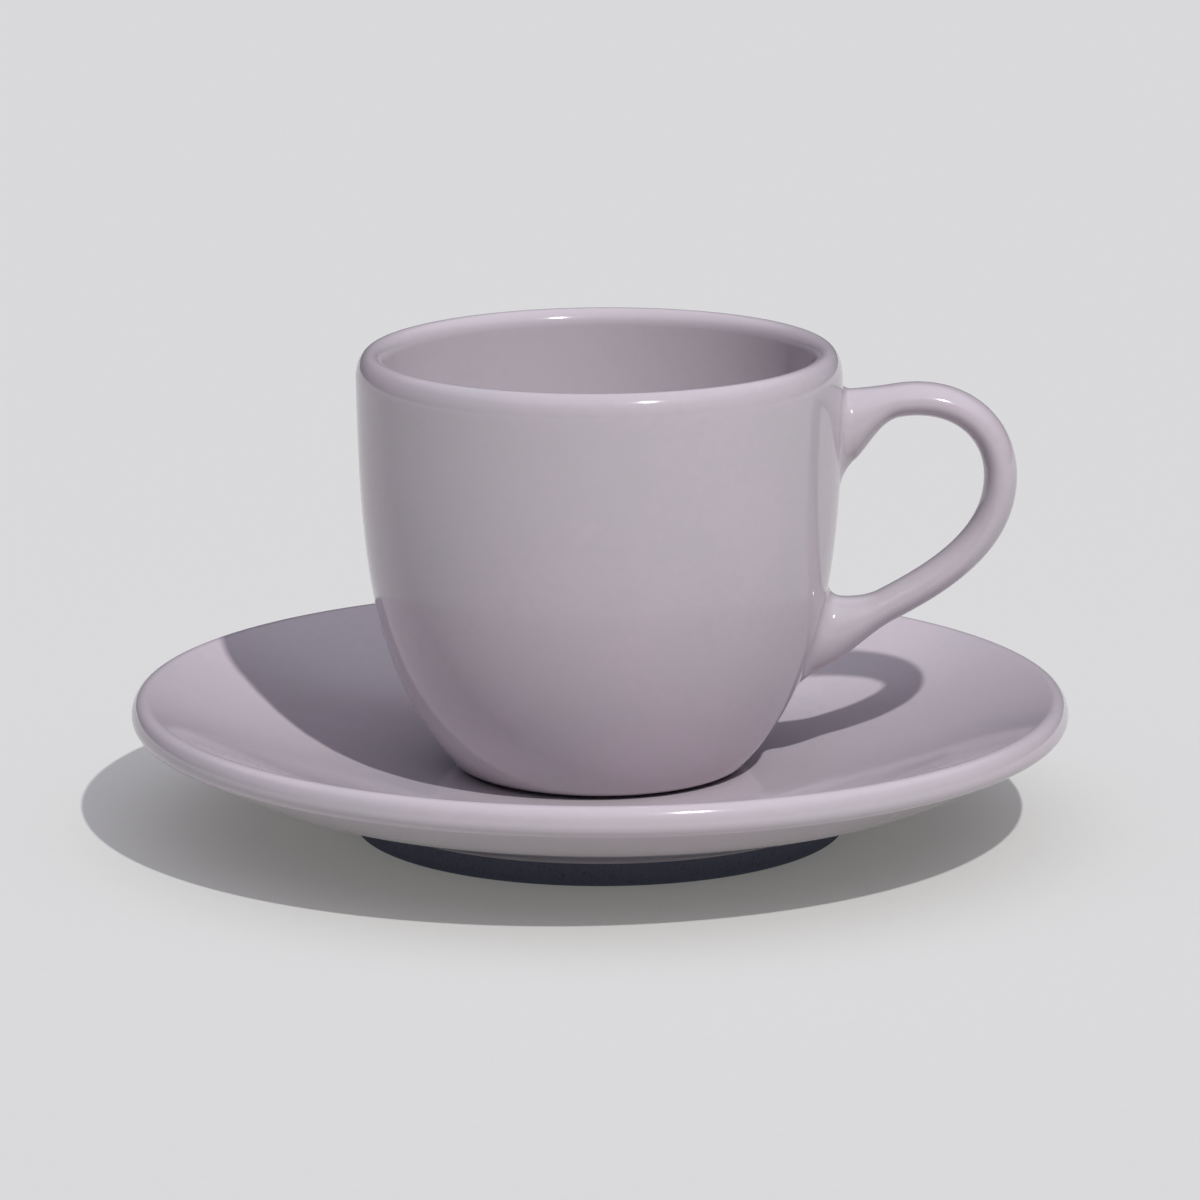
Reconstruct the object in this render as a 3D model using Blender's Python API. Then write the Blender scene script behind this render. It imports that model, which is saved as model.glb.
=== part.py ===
"""Coffee cup with saucer, in metres, +Z up.

The saucer stands on the origin. The cup stands loose in the saucer's well, with its handle
towards +X, and lifts straight up the Z axis.
"""

import math

import bmesh
import bpy
from mathutils import Vector

# Saucer, turned about Z. Heights are above the table.
SAUCER_RADIUS = 0.0750
WELL_HEIGHT = 0.0096
WELL_MARGIN = 0.0043
DISH_CURVE = 1.57
RIM_HEIGHT = 0.0190
BEAD_TOP_ROUND = 0.0018
BEAD_OUTER_ROUND = 0.0036
BEAD_TURN = math.radians(33.0)
BEAD_UNDER_ROUND = 0.0021
UNDERSIDE_ANGLE = math.radians(26.5)
UNDERSIDE_WIDTH = 0.0140
UNDERSIDE_ROUND = 0.040
SAUCER_FOOT_RADIUS = 0.0394
SAUCER_FOOT_WIDTH = 0.0045
SAUCER_FOOT_HEIGHT = 0.0042
SAUCER_FOOT_TAPER = 0.0007
SAUCER_FOOT_ROUND = 0.0008
SAUCER_BASE_THICKNESS = 0.0046

# Cup bowl, turned about Z. Heights are above the cup's own foot.
CUP_CLEARANCE = 0.0003
CUP_HEIGHT = 0.0676
LIP_RADIUS = 0.03877
LIP_DEPTH = 0.0040
LIP_INSIDE_DEPTH = 0.0026
LIP_SHOULDER = 0.0023
CUP_WALL = 0.0045
CUP_BASE_RADIUS = 0.0209
BASE_ROUND = 0.0040
BASE_FLARE = math.radians(48.5)
BELLY_PULL = 0.0196
LIP_PULL = 0.0286
LIP_LEAN = math.radians(1.0)
CUP_FLOOR_THICKNESS = 0.0047
INSIDE_ROUND = 0.0100
CUP_FOOT_WIDTH = 0.0030
CUP_FOOT_DEPTH = 0.0012
CUP_FOOT_SLOPE = 0.0007

# Handle, in the XZ plane. Drops are below the lip, outs are beyond the lip's outside.
HANDLE_THICKNESS = 0.0053
HANDLE_WIDTH = 0.0086
NECK_OUT = 0.0086
NECK_DROP = 0.0082
NECK_RISE = math.radians(9.0)
NECK_PULL = 0.0099
BEND_OUT = 0.0250
BEND_DROP = 0.02055
BEND_PULL_UP = 0.0079
BEND_PULL_DOWN = 0.0105
TAIL_OUT = 0.0069
TAIL_HEIGHT = 0.02605
TAIL_FALL = math.radians(28.0)
TAIL_PULL = 0.0095
UPPER_ROOT_DROP = 0.01275
UPPER_ROOT_SPAN = 0.0124
LOWER_ROOT_HEIGHT = 0.0212
LOWER_ROOT_SPAN = 0.0124
ROOT_WIDTH = 0.0108

# Slip pads between the handle's ends and the wall.
SLIP_GAP = 0.0003
SLIP_THICKNESS = 0.0008
SLIP_MARGIN = 0.0006

# Facets
TURN_STEPS = 52
ARC_STEP = math.radians(15.0)
LEAST_ARC_STEPS = 3
WALL_STEPS = 11
LIP_STEPS = 10
HANDLE_SIDES = 16
BEND_STEPS = 11
FLARE_STEPS = 5
CAP_SHARE = 0.5
BISECTIONS = 40
AXIS_MERGE = 0.00001

GLAZE_COLOUR = (0.390, 0.352, 0.390, 1.0)
SLIP_COLOUR = (0.420, 0.385, 0.420, 1.0)
GLAZE_ROUGHNESS = 0.16
SLIP_ROUGHNESS = 0.22


def clear_scene():
    """Remove every object of the open scene."""
    for obj in list(bpy.data.objects):
        bpy.data.objects.remove(obj, do_unlink=True)


def glaze(name, colour, roughness):
    """A glossy fired glaze."""
    material = bpy.data.materials.new(name)
    material.use_nodes = True
    shader = material.node_tree.nodes["Principled BSDF"]
    shader.inputs["Base Color"].default_value = colour
    shader.inputs["Roughness"].default_value = roughness
    shader.inputs["Metallic"].default_value = 0.0
    return material


def unit(angle):
    """The direction that lies at this angle above +X, as a 2-D vector."""
    return Vector((math.cos(angle), math.sin(angle)))


def left_of(direction):
    """The 2-D direction turned a quarter turn to the left."""
    return Vector((-direction.y, direction.x))


def arc(centre, radius, start, end):
    """Points of an arc from one angle to another."""
    steps = max(LEAST_ARC_STEPS, math.ceil(abs(end - start) / ARC_STEP))
    return [centre + radius * unit(start + (end - start) * i / steps) for i in range(steps + 1)]


def bezier(points, share):
    """A point of a cubic Bezier curve and its direction there."""
    a, b, c, d = points
    rest = 1.0 - share
    place = rest**3 * a + 3 * rest**2 * share * b + 3 * rest * share**2 * c + share**3 * d
    along = rest**2 * (b - a) + 2 * rest * share * (c - b) + share**2 * (d - c)
    return place, along.normalized()


def hermite(start, start_along, end, end_along, share):
    """A point of the curve that leaves start along start_along and arrives at end along end_along."""
    a = 2 * share**3 - 3 * share**2 + 1
    b = share**3 - 2 * share**2 + share
    c = share**3 - share**2
    return a * start + b * start_along + (1 - a) * end + c * end_along


def rounded(corners):
    """An outline through (point, round) corners: each round is a tangent arc that its sides limit."""
    places = [place for place, _ in corners]
    reach = [0.0] * len(corners)
    for i in range(1, len(corners) - 1):
        into = (places[i] - places[i - 1]).normalized()
        out = (places[i + 1] - places[i]).normalized()
        reach[i] = corners[i][1] * math.tan(into.angle(out) / 2)
    fit = [1.0] * len(corners)
    for i in range(len(corners) - 1):
        needed = reach[i] + reach[i + 1]
        side = (places[i + 1] - places[i]).length
        if needed > side:
            fit[i] = min(fit[i], side / needed)
            fit[i + 1] = min(fit[i + 1], side / needed)
    outline = [places[0]]
    for i in range(1, len(corners) - 1):
        into = (places[i] - places[i - 1]).normalized()
        out = (places[i + 1] - places[i]).normalized()
        radius = corners[i][1] * fit[i]
        turn = math.atan2(into.cross(out), into.dot(out))
        side = math.copysign(1.0, turn)
        first = places[i] - reach[i] * fit[i] * into
        centre = first + side * radius * left_of(into)
        spoke = first - centre
        start = math.atan2(spoke.y, spoke.x)
        outline += arc(centre, radius, start, start + turn)
    return outline + [places[-1]]


def turned(name, outline, material, parent):
    """A solid turned about Z from an outline that starts and ends on the axis."""
    mesh = bpy.data.meshes.new(name)
    points = [(0.0 if i in (0, len(outline) - 1) else p.x, 0.0, p.y) for i, p in enumerate(outline)]
    mesh.from_pydata(points, [(i, i + 1) for i in range(len(points) - 1)], [])
    obj = bpy.data.objects.new(name, mesh)
    bpy.context.scene.collection.objects.link(obj)
    obj.parent = parent
    mesh.materials.append(material)
    screw = obj.modifiers.new("turn", "SCREW")
    screw.axis = "Z"
    screw.angle = 2 * math.pi
    screw.screw_offset = 0.0
    screw.steps = TURN_STEPS
    screw.render_steps = TURN_STEPS
    screw.use_merge_vertices = True
    screw.merge_threshold = AXIS_MERGE
    screw.use_smooth_shade = True
    return obj


def ringed(name, rings, material, parent):
    """A closed solid skinned over rings of equal count. Its first and last ring shrink to a point."""
    mesh = bpy.data.meshes.new(name)
    build = bmesh.new()
    first = build.verts.new(sum(rings[0], Vector()) / len(rings[0]))
    loops = [[build.verts.new(p) for p in ring] for ring in rings[1:-1]]
    last = build.verts.new(sum(rings[-1], Vector()) / len(rings[-1]))
    count = len(loops[0])
    for i in range(count):
        j = (i + 1) % count
        build.faces.new((first, loops[0][j], loops[0][i]))
        build.faces.new((last, loops[-1][i], loops[-1][j]))
        for near, far in zip(loops, loops[1:]):
            build.faces.new((near[i], near[j], far[j], far[i]))
    bmesh.ops.recalc_face_normals(build, faces=build.faces)
    build.to_mesh(mesh)
    build.free()
    mesh.shade_smooth()
    mesh.materials.append(material)
    obj = bpy.data.objects.new(name, mesh)
    bpy.context.scene.collection.objects.link(obj)
    obj.parent = parent
    return obj


def bead(dish_angle):
    """The rolled edge, from the dish over its crest and its widest point to the underside."""
    outer = Vector((SAUCER_RADIUS - BEAD_OUTER_ROUND, RIM_HEIGHT))
    top = outer + (BEAD_OUTER_ROUND - BEAD_TOP_ROUND) * unit(BEAD_TURN)
    under = Vector((SAUCER_RADIUS - BEAD_UNDER_ROUND, RIM_HEIGHT))
    return [
        *arc(top, BEAD_TOP_ROUND, math.pi / 2 + dish_angle, BEAD_TURN),
        *arc(outer, BEAD_OUTER_ROUND, BEAD_TURN, 0.0)[1:],
        *arc(under, BEAD_UNDER_ROUND, 0.0, UNDERSIDE_ANGLE - math.pi / 2)[1:],
    ]


def saucer_outline():
    """The saucer's half section, from the middle of its well over the rim to its underside's middle.

    The dish curves up from the edge of the well, and is DISH_CURVE times its mean slope at the rim.
    """
    well_edge = Vector((CUP_BASE_RADIUS + WELL_MARGIN, WELL_HEIGHT))
    climb = bead(0.0)[0] - well_edge
    slope = DISH_CURVE * math.atan2(climb.y, climb.x)
    edge = bead(slope)
    dish_foot = Vector((edge[0].x - (edge[0].y - WELL_HEIGHT) / math.tan(slope), WELL_HEIGHT))
    dish_round = (dish_foot.x - well_edge.x) / math.tan(slope / 2)
    knee_x = SAUCER_RADIUS - UNDERSIDE_WIDTH
    knee = Vector((knee_x, edge[-1].y - math.tan(UNDERSIDE_ANGLE) * (edge[-1].x - knee_x)))
    foot_inside = SAUCER_FOOT_RADIUS - SAUCER_FOOT_WIDTH
    recess = WELL_HEIGHT - SAUCER_BASE_THICKNESS
    dish = rounded([
        (Vector((0.0, WELL_HEIGHT)), 0.0),
        (dish_foot, dish_round),
        (edge[0], 0.0),
    ])
    underside = rounded([
        (edge[-1], 0.0),
        (knee, UNDERSIDE_ROUND),
        (Vector((SAUCER_FOOT_RADIUS + SAUCER_FOOT_TAPER, SAUCER_FOOT_HEIGHT)), SAUCER_FOOT_ROUND),
        (Vector((SAUCER_FOOT_RADIUS, 0.0)), SAUCER_FOOT_ROUND),
        (Vector((foot_inside, 0.0)), SAUCER_FOOT_ROUND),
        (Vector((foot_inside - SAUCER_FOOT_TAPER, recess)), SAUCER_FOOT_ROUND),
        (Vector((0.0, recess)), 0.0),
    ])
    return dish + edge[1:] + underside[1:]


def wall_curve():
    """The Bezier points of the cup's outside wall, from its base corner up to its lip."""
    base = Vector((CUP_BASE_RADIUS, BASE_ROUND)) + BASE_ROUND * unit(BASE_FLARE - math.pi / 2)
    lip = Vector((LIP_RADIUS, CUP_HEIGHT - LIP_DEPTH))
    return (
        base,
        base + BELLY_PULL * unit(BASE_FLARE),
        lip - LIP_PULL * unit(math.pi / 2 - LIP_LEAN),
        lip,
    )


def wall_at(share, standoff):
    """A point that stands off from the outside wall, a share of the way up its curve."""
    place, along = bezier(wall_curve(), share)
    return place - standoff * left_of(along)


def wall_point(height, side, standoff):
    """A point on the +X side of the cup, off the outside wall at a height, moved sideways along Y."""
    low, high = 0.0, 1.0
    curve = wall_curve()
    for _ in range(BISECTIONS):
        middle = (low + high) / 2
        if bezier(curve, middle)[0].y < height:
            low = middle
        else:
            high = middle
    place = wall_at(low, standoff)
    return Vector((math.sqrt(place.x**2 - side**2), side, place.y))


def inside_corner():
    """How far up the wall the inside's bottom round ends, and the angle of the wall there."""
    low, high = 0.0, 1.0
    for _ in range(BISECTIONS):
        middle = (low + high) / 2
        along = bezier(wall_curve(), middle)[1]
        lowest = wall_at(middle, -CUP_WALL).y - INSIDE_ROUND * (1 - along.x)
        if lowest < CUP_FLOOR_THICKNESS:
            low = middle
        else:
            high = middle
    along = bezier(wall_curve(), high)[1]
    return high, math.atan2(along.y, along.x)


def lip_point(angle):
    """A point of the lip, a quarter oval on each side of its crest, from the outside (0) inwards."""
    outside = angle < math.pi / 2
    across = LIP_SHOULDER if outside else CUP_WALL - LIP_SHOULDER
    depth = LIP_DEPTH if outside else LIP_INSIDE_DEPTH
    crest = Vector((LIP_RADIUS - LIP_SHOULDER, CUP_HEIGHT))
    return crest + Vector((across * math.cos(angle), depth * (math.sin(angle) - 1.0)))


def cup_outline():
    """The cup's half section, from the middle of its inside over the lip to the middle of its foot."""
    share, angle = inside_corner()
    join = wall_at(share, -CUP_WALL)
    round_centre = join + INSIDE_ROUND * left_of(unit(angle))
    inside = arc(round_centre, INSIDE_ROUND, -math.pi / 2, angle - math.pi / 2)
    for i in range(1, WALL_STEPS + 1):
        inside.append(wall_at(share + (1 - share) * i / WALL_STEPS, -CUP_WALL))
    lip = [lip_point(math.pi * (1 - i / LIP_STEPS)) for i in range(LIP_STEPS + 1)]
    outside = [wall_at(1 - i / WALL_STEPS, 0.0) for i in range(1, WALL_STEPS)]
    base_centre = Vector((CUP_BASE_RADIUS, BASE_ROUND))
    base = arc(base_centre, BASE_ROUND, BASE_FLARE - math.pi / 2, -math.pi / 2)
    foot_inside = CUP_BASE_RADIUS - CUP_FOOT_WIDTH
    return [
        Vector((0.0, CUP_FLOOR_THICKNESS)),
        *inside,
        *lip,
        *outside,
        *base,
        Vector((foot_inside, 0.0)),
        Vector((foot_inside - CUP_FOOT_SLOPE, CUP_FOOT_DEPTH)),
        Vector((0.0, CUP_FOOT_DEPTH)),
    ]


def root_ring(height, half_span, half_width, standoff, share):
    """A ring on the cup's wall round one end of the handle. Its first point is the loop's outer side."""
    ring = []
    for i in range(HANDLE_SIDES):
        angle = 2 * math.pi * i / HANDLE_SIDES
        up = height + share * half_span * math.cos(angle)
        ring.append(wall_point(up, share * half_width * math.sin(angle), standoff))
    return ring


def upper_root(standoff, margin, share):
    """A ring at the handle's upper end."""
    half_span = UPPER_ROOT_SPAN / 2 + margin
    return root_ring(CUP_HEIGHT - UPPER_ROOT_DROP, half_span, ROOT_WIDTH / 2 + margin, standoff, share)


def lower_root(standoff, margin, share):
    """A ring at the handle's lower end, where the loop's outer side is the lower one."""
    half_span = -LOWER_ROOT_SPAN / 2 - margin
    return root_ring(LOWER_ROOT_HEIGHT, half_span, ROOT_WIDTH / 2 + margin, standoff, share)


def bend_place(share):
    """A place on the handle's centre line and its direction: neck at 0, bend at 1, tail at 2."""
    neck = Vector((LIP_RADIUS + NECK_OUT, CUP_HEIGHT - NECK_DROP))
    bend = Vector((LIP_RADIUS + BEND_OUT, CUP_HEIGHT - BEND_DROP))
    tail = Vector((LIP_RADIUS + TAIL_OUT, TAIL_HEIGHT))
    if share < 1.0:
        over = (neck, neck + NECK_PULL * unit(NECK_RISE), bend + Vector((0.0, BEND_PULL_UP)), bend)
        return bezier(over, share)
    under = (bend, bend - Vector((0.0, BEND_PULL_DOWN)), tail + TAIL_PULL * unit(TAIL_FALL), tail)
    return bezier(under, share - 1.0)


def bend_ring(share):
    """An oval ring round the handle's centre line, and the direction of the line there."""
    place, along = bend_place(share)
    outward = left_of(along)
    ring = []
    for i in range(HANDLE_SIDES):
        angle = 2 * math.pi * i / HANDLE_SIDES
        spot = place + HANDLE_THICKNESS / 2 * math.cos(angle) * outward
        ring.append(Vector((spot.x, HANDLE_WIDTH / 2 * math.sin(angle), spot.y)))
    return ring, Vector((along.x, 0.0, along.y))


def flare(bend_share, root, away):
    """Rings that swell from the handle's loop to its end on the wall, without either of those two."""
    ring, along = bend_ring(bend_share)
    rings = []
    for step in range(1, FLARE_STEPS):
        share = step / FLARE_STEPS
        row = []
        for spot, seat in zip(ring, root):
            chord = seat - spot
            row.append(hermite(spot, away * chord.length * along, seat, chord, share))
        rings.append(row)
    return rings


def handle_rings():
    """The handle's rings, from its upper end's middle round the loop to its lower end's middle."""
    standoff = 2 * SLIP_GAP + SLIP_THICKNESS
    top = upper_root(standoff, 0.0, 1.0)
    foot = lower_root(standoff, 0.0, 1.0)
    loop = [bend_ring(i / BEND_STEPS)[0] for i in range(2 * BEND_STEPS + 1)]
    return [
        upper_root(standoff, 0.0, 0.0),
        upper_root(standoff, 0.0, CAP_SHARE),
        top,
        *reversed(flare(0.0, top, -1.0)),
        *loop,
        *flare(2.0, foot, 1.0),
        foot,
        lower_root(standoff, 0.0, CAP_SHARE),
        lower_root(standoff, 0.0, 0.0),
    ]


def slip_rings(root):
    """The rings of a slip pad, from its middle on the wall to its middle under the handle."""
    outside = SLIP_GAP + SLIP_THICKNESS
    return [
        root(SLIP_GAP, 0.0, 0.0),
        root(SLIP_GAP, SLIP_MARGIN, CAP_SHARE),
        root(SLIP_GAP, SLIP_MARGIN, 1.0),
        root(outside, 0.0, 1.0),
        root(outside, 0.0, CAP_SHARE),
        root(outside, 0.0, 0.0),
    ]


def build():
    """Model the saucer, and the cup with its handle on an empty at the foot of the lift axis."""
    clear_scene()
    turned("saucer", saucer_outline(), glaze("saucer glaze", GLAZE_COLOUR, GLAZE_ROUGHNESS), None)
    lift = bpy.data.objects.new("cup_lift_axis", None)
    lift.location.z = WELL_HEIGHT + CUP_CLEARANCE
    bpy.context.scene.collection.objects.link(lift)
    turned("cup_body", cup_outline(), glaze("cup glaze", GLAZE_COLOUR, GLAZE_ROUGHNESS), lift)
    ringed("cup_handle", handle_rings(), glaze("handle glaze", GLAZE_COLOUR, GLAZE_ROUGHNESS), lift)
    slip = glaze("glazed slip", SLIP_COLOUR, SLIP_ROUGHNESS)
    ringed("handle_upper_slip_joint", slip_rings(upper_root), slip, lift)
    ringed("handle_lower_slip_joint", slip_rings(lower_root), slip, lift)


build()
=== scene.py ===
"""Looks of the coffee cup with saucer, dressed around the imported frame, in metres, +Z up.

The saucer and the cup's bowl are turned by one Geometry Nodes tree from their half sections. The handle is
skinned over rings that swell into fillets of slip where it meets the bowl. The pieces' sizes are in
millimetres, the studio's in metres.
"""

import logging
import math
from dataclasses import dataclass
from enum import Enum
from typing import Any

import bpy
import numpy as np
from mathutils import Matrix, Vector

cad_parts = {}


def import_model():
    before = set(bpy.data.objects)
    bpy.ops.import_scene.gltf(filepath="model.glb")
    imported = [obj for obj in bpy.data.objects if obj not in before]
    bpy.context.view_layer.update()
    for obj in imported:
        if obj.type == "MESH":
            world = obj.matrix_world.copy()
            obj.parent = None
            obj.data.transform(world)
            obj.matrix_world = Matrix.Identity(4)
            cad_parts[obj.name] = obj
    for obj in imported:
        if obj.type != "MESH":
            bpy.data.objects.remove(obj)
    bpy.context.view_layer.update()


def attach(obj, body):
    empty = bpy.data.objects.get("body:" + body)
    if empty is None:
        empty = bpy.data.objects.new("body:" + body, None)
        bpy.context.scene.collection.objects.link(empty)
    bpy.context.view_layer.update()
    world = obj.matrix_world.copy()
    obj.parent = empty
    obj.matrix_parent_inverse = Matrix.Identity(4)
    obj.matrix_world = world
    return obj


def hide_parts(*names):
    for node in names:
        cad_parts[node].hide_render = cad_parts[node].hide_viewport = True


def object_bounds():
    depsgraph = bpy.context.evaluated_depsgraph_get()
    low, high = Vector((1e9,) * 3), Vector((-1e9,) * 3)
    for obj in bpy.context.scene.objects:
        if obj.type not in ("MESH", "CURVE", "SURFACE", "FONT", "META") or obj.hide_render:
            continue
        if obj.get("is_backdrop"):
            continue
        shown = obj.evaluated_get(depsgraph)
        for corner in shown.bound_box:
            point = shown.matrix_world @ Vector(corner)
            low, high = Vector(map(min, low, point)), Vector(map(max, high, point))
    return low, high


LOG = logging.getLogger("cup_and_saucer")
MM = 0.001
ARC_STEP = math.radians(4.0)
SIDE_STEP = 2.0
HALVINGS = 40


class Body(Enum):
    """The rigid bodies that pieces ride on."""

    SAUCER = "saucer"
    CUP = "cup"


class HandleEnd(Enum):
    """The two ends of the handle, with the way along the centre line that leads to each."""

    UPPER = -1.0
    LOWER = 1.0


def linear(hex_colour: str) -> tuple[float, float, float, float]:
    """Turn an sRGB hex colour into a linear one.

    Args:
        hex_colour: Six hex digits, red first.

    Returns:
        Linear red, green, blue and an alpha of one.
    """
    parts = [int(hex_colour[i : i + 2], 16) / 255 for i in (0, 2, 4)]
    red, green, blue = (p / 12.92 if p <= 0.04045 else ((p + 0.055) / 1.055) ** 2.4 for p in parts)
    return (red, green, blue, 1.0)


def add_node(tree: bpy.types.NodeTree, kind: str, inputs: dict[Any, Any], **settings: Any) -> bpy.types.Node:
    """Add a node to a tree, set it up and feed it.

    Args:
        tree: The shader or geometry tree.
        kind: The node's type name.
        inputs: Input name or number to a value, or to the output socket that feeds it.
        settings: Properties of the node.

    Returns:
        The new node.
    """
    node = tree.nodes.new(kind)
    for name, value in settings.items():
        setattr(node, name, value)
    for key, value in inputs.items():
        if isinstance(value, bpy.types.NodeSocket):
            tree.links.new(value, node.inputs[key])
        else:
            node.inputs[key].default_value = value
    return node


def unit(angle: float) -> Vector:
    """The 2-D direction at an angle above the first axis."""
    return Vector((math.cos(angle), math.sin(angle)))


def left_of(direction: Vector) -> Vector:
    """A 2-D direction turned a quarter turn to the left."""
    return Vector((-direction.y, direction.x))


def arc(centre: Vector, radius: float, start: float, end: float) -> list[Vector]:
    """Points of an arc, both ends included.

    Args:
        centre: The arc's centre.
        radius: Its radius.
        start: The angle of its first point.
        end: The angle of its last point.

    Returns:
        Points no more than ARC_STEP apart.
    """
    steps = max(4, math.ceil(abs(end - start) / ARC_STEP))
    return [centre + radius * unit(start + (end - start) * i / steps) for i in range(steps + 1)]


def bezier(points: tuple[Vector, Vector, Vector, Vector], share: float) -> tuple[Vector, Vector]:
    """A point of a cubic Bezier curve.

    Args:
        points: The curve's four control points.
        share: How far along it, from 0 to 1.

    Returns:
        The point, and the curve's unit direction there.
    """
    a, b, c, d = points
    rest = 1.0 - share
    place = rest**3 * a + 3 * rest**2 * share * b + 3 * rest * share**2 * c + share**3 * d
    along = rest**2 * (b - a) + 2 * rest * share * (c - b) + share**2 * (d - c)
    return place, along.normalized()


def rounded(corners: list[tuple[Vector, float]]) -> list[Vector]:
    """An outline through corners, each rounded by a tangent arc.

    Args:
        corners: Each corner's place and the radius of its round.

    Returns:
        The outline's points, with the arcs and the sides between them finely stepped.
    """
    places = [place for place, _ in corners]
    outline = [places[0]]
    for i in range(1, len(corners) - 1):
        into = (places[i] - places[i - 1]).normalized()
        out = (places[i + 1] - places[i]).normalized()
        radius = corners[i][1]
        turn = math.atan2(into.cross(out), into.dot(out))
        first = places[i] - radius * math.tan(abs(turn) / 2) * into
        centre = first + math.copysign(radius, turn) * left_of(into)
        spoke = first - centre
        start = math.atan2(spoke.y, spoke.x)
        outline += arc(centre, radius, start, start + turn)
    return stepped(outline + [places[-1]])


def stepped(outline: list[Vector]) -> list[Vector]:
    """An outline with extra points on its long sides.

    Args:
        outline: The points to keep.

    Returns:
        The same outline with no side much longer than SIDE_STEP.
    """
    fine = [outline[0]]
    for a, b in zip(outline, outline[1:]):
        steps = max(1, math.ceil((b - a).length / SIDE_STEP))
        fine += [a.lerp(b, i / steps) for i in range(1, steps + 1)]
    return fine


@dataclass(frozen=True)
class GlossGlaze:
    """Stoneware under a glossy mauve-grey glaze, dipped and fired.

    The eye gets a clear mirror over a soft body colour that wanders between pink and grey, a faint
    orange-peel ripple in the mirror, and a few pinholes where gas broke through.
    """

    name: str = "glossy mauve stoneware glaze"
    pink: str = "BEB3BA"
    grey: str = "B7B1B6"
    pinhole: str = "55505A"
    ior: float = 1.5
    roughness: float = 0.10
    roughness_swing: float = 0.02
    mottle_mm: float = 24.0
    grain_mm: float = 1.6
    grain_share: float = 0.35
    drift_range: tuple[float, float] = (0.36, 0.64)
    gloss_range: tuple[float, float] = (0.3, 0.7)
    peel_mm: float = 3.0
    peel_height_mm: float = 0.004
    pinhole_pitch_mm: float = 11.0
    pinhole_mm: float = 0.30
    pinhole_share: float = 0.16

    def material(self) -> bpy.types.Material:
        """Build the glaze's shader.

        Returns:
            A material on Object coordinates.
        """
        material = bpy.data.materials.new(self.name)
        material.use_nodes = True
        tree = material.node_tree
        shader = tree.nodes["Principled BSDF"]
        place = add_node(tree, "ShaderNodeTexCoord", {}).outputs["Object"]
        mottle = add_node(
            tree,
            "ShaderNodeTexNoise",
            {"Vector": place, "Scale": 1 / (self.mottle_mm * MM), "Detail": 3.0, "Roughness": 0.55},
        )
        grain = add_node(
            tree,
            "ShaderNodeTexNoise",
            {"Vector": place, "Scale": 1 / (self.grain_mm * MM), "Detail": 2.0},
        )
        drift = add_node(
            tree,
            "ShaderNodeMix",
            {"Factor": self.grain_share, "A": mottle.outputs["Fac"], "B": grain.outputs["Fac"]},
            data_type="FLOAT",
        )
        share = add_node(
            tree,
            "ShaderNodeMapRange",
            {
                "Value": drift.outputs["Result"],
                "From Min": self.drift_range[0],
                "From Max": self.drift_range[1],
            },
        )
        body = add_node(
            tree,
            "ShaderNodeMix",
            {0: share.outputs["Result"], 6: linear(self.grey), 7: linear(self.pink)},
            data_type="RGBA",
        )
        cells = add_node(
            tree,
            "ShaderNodeTexVoronoi",
            {"Vector": place, "Scale": 1 / (self.pinhole_pitch_mm * MM)},
        )
        near = add_node(
            tree,
            "ShaderNodeMapRange",
            {
                "Value": cells.outputs["Distance"],
                "From Min": self.pinhole_mm / self.pinhole_pitch_mm / 2,
                "From Max": self.pinhole_mm / self.pinhole_pitch_mm / 4,
            },
        )
        chance = add_node(tree, "ShaderNodeSeparateColor", {"Color": cells.outputs["Color"]})
        chosen = add_node(
            tree,
            "ShaderNodeMath",
            {0: chance.outputs["Red"], 1: self.pinhole_share},
            operation="LESS_THAN",
        )
        pit = add_node(
            tree,
            "ShaderNodeMath",
            {0: near.outputs["Result"], 1: chosen.outputs["Value"]},
            operation="MULTIPLY",
        )
        colour = add_node(
            tree,
            "ShaderNodeMix",
            {0: pit.outputs["Value"], 6: body.outputs[2], 7: linear(self.pinhole)},
            data_type="RGBA",
        )
        gloss = add_node(
            tree,
            "ShaderNodeMapRange",
            {
                "Value": mottle.outputs["Fac"],
                "From Min": self.gloss_range[0],
                "From Max": self.gloss_range[1],
                "To Min": self.roughness - self.roughness_swing,
                "To Max": self.roughness + self.roughness_swing,
            },
        )
        peel = add_node(
            tree,
            "ShaderNodeTexNoise",
            {"Vector": place, "Scale": 1 / (self.peel_mm * MM), "Detail": 1.0},
        )
        bump = add_node(
            tree,
            "ShaderNodeBump",
            {"Height": peel.outputs["Fac"], "Strength": 1.0, "Distance": self.peel_height_mm * MM},
        )
        tree.links.new(colour.outputs[2], shader.inputs["Base Color"])
        tree.links.new(gloss.outputs["Result"], shader.inputs["Roughness"])
        tree.links.new(bump.outputs["Normal"], shader.inputs["Normal"])
        shader.inputs["IOR"].default_value = self.ior
        return material


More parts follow.
